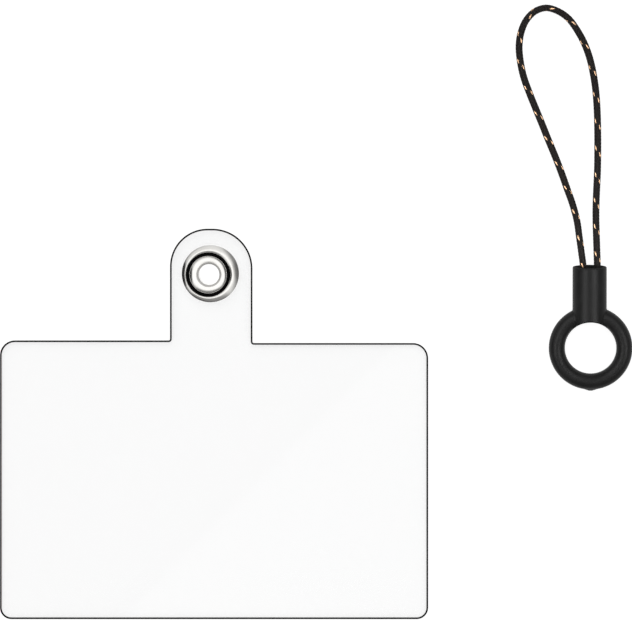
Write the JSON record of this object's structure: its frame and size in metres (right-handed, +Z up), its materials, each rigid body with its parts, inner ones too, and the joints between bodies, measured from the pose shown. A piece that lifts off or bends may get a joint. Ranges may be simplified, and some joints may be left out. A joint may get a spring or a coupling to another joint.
{
  "type": "phone crossbody strap tether tab and braided cord loop with ring",
  "caption": "Clear film tether tab with a metal eyelet in its tongue, and a braided black cord loop ending in a moulded plastic ring, laid flat side by side.",
  "frame": {"origin": "on the surface that the pieces lie on, below the middle of the box round the tab and the ring", "axes": "+X right, from the tab to the ring; +Y towards the tab's tongue and the cord's loop; +Z up from the surface"},
  "size_m": [0.0886, 0.0861, 0.0057],
  "materials": {
    "clear_film": "clear glossy flexible film with a die-cut edge",
    "nickel_plate": "bright nickel plate on pressed metal",
    "black_plastic": "satin moulded black plastic",
    "black_braid": "tight round braid of black yarns with one pale orange tracer yarn"
  },
  "bodies": {
    "root": {"tether_tab": "clear_film", "eyelet": "nickel_plate", "eyelet_washer": "nickel_plate", "ring": "black_plastic", "cord": "black_braid"}
  },
  "joints": []
}
